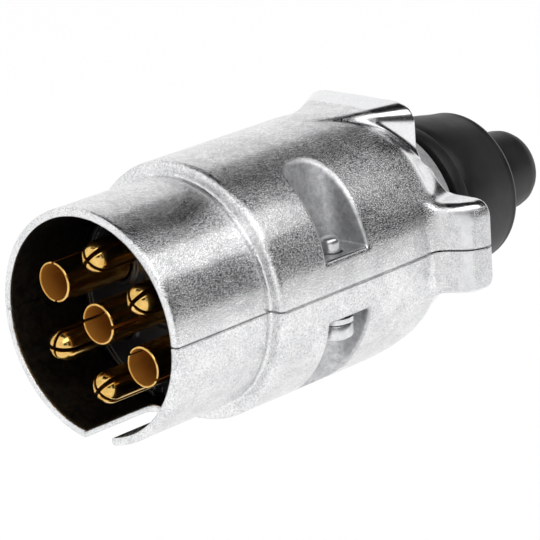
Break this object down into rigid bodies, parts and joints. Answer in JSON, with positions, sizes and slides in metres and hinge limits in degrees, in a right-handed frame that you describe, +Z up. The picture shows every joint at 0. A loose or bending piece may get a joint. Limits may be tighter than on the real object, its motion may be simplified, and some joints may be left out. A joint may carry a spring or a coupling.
{
  "type": "trailer wiring plug",
  "caption": "Metal trailer plug: two die-cast half shells, a moulded insert with split-pin and tube contacts, inner cable clamp and rubber cable boot.",
  "frame": {"origin": "centre of the plug's mouth, on its axis in the plane of the nose rim", "axes": "+X along the plug's axis from the mouth to the cable end, +Z up through the latch lug with the key slot at the bottom, split plane at z=0, +Y to complete a right-handed frame"},
  "size_m": [0.1012, 0.052, 0.042],
  "materials": {
    "cast_metal": "tumbled die-cast, bright with fine speckle",
    "brass": "bright turned brass",
    "steel": "zinc-plated",
    "moulding": "black moulded, semi-gloss",
    "rubber": "matte black moulded rubber"
  },
  "bodies": {
    "lower_half": {"lower_shell": "cast_metal", "cable_boot": "rubber"},
    "contact_insert": {"contact_carrier": "moulding", "carrier_retaining_plate": "moulding", "plate_screw_upper": "steel", "plate_screw_lower": "steel", "tube_contact_centre": "brass", "pin_contact_right": "brass", "pin_contact_top": "brass", "tube_contact_left": "brass", "pin_contact_left": "brass", "pin_contact_bottom": "brass", "tube_contact_right": "brass"},
    "upper_half": {"upper_shell": "cast_metal"},
    "terminal_centre": {"terminal_screw_tube_centre": "steel"},
    "terminal_pin_right": {"terminal_screw_pin_right": "steel"},
    "terminal_pin_top": {"terminal_screw_pin_top": "steel"},
    "terminal_tube_left": {"terminal_screw_tube_left": "steel"},
    "terminal_pin_left": {"terminal_screw_pin_left": "steel"},
    "terminal_pin_bottom": {"terminal_screw_pin_bottom": "steel"},
    "terminal_tube_right": {"terminal_screw_tube_right": "steel"},
    "long_screw_right": {"shell_screw_right": "steel", "shell_washer_right": "steel"},
    "long_screw_left": {"shell_screw_left": "steel", "shell_washer_left": "steel"},
    "clamp": {"cable_clamp_bar": "steel"},
    "clamp_fixing_right": {"clamp_screw_right": "steel"},
    "clamp_fixing_left": {"clamp_screw_left": "steel"}
  },
  "joints": [
    {"name": "insert_lift", "type": "slide", "parent": "lower_half", "child": "contact_insert", "axis": [0, 0, 1], "range_m": [0, 0.045]},
    {"name": "upper_shell_lift", "type": "slide", "parent": "contact_insert", "child": "upper_half", "axis": [0, 0, 1], "range_m": [0, 0.045]},
    {"name": "terminal_screw_centre_out", "type": "slide", "parent": "contact_insert", "child": "terminal_centre", "axis": [0, -0.5, 0.866], "range_m": [0, 0.002]},
    {"name": "terminal_screw_pin_right_out", "type": "slide", "parent": "contact_insert", "child": "terminal_pin_right", "axis": [0, -0.866, 0.5], "range_m": [0, 0.002]},
    {"name": "terminal_screw_pin_top_out", "type": "slide", "parent": "contact_insert", "child": "terminal_pin_top", "axis": [0, 0, 1], "range_m": [0, 0.002]},
    {"name": "terminal_screw_tube_left_out", "type": "slide", "parent": "contact_insert", "child": "terminal_tube_left", "axis": [0, 0.866, 0.5], "range_m": [0, 0.002]},
    {"name": "terminal_screw_pin_left_out", "type": "slide", "parent": "contact_insert", "child": "terminal_pin_left", "axis": [0, 0.866, -0.5], "range_m": [0, 0.002]},
    {"name": "terminal_screw_pin_bottom_out", "type": "slide", "parent": "contact_insert", "child": "terminal_pin_bottom", "axis": [0, 0, -1], "range_m": [0, 0.002]},
    {"name": "terminal_screw_tube_right_out", "type": "slide", "parent": "contact_insert", "child": "terminal_tube_right", "axis": [0, -0.866, -0.5], "range_m": [0, 0.002]},
    {"name": "long_screw_right_out", "type": "slide", "parent": "lower_half", "child": "long_screw_right", "axis": [0, 0, -1], "range_m": [0, 0.0126]},
    {"name": "long_screw_left_out", "type": "slide", "parent": "lower_half", "child": "long_screw_left", "axis": [0, 0, -1], "range_m": [0, 0.0126]},
    {"name": "clamp_lift", "type": "slide", "parent": "lower_half", "child": "clamp", "axis": [0, 0, 1], "range_m": [0, 0.003]},
    {"name": "clamp_screw_right_out", "type": "slide", "parent": "clamp", "child": "clamp_fixing_right", "axis": [0, 0, 1], "range_m": [0, 0.002]},
    {"name": "clamp_screw_left_out", "type": "slide", "parent": "clamp", "child": "clamp_fixing_left", "axis": [0, 0, 1], "range_m": [0, 0.002]}
  ]
}
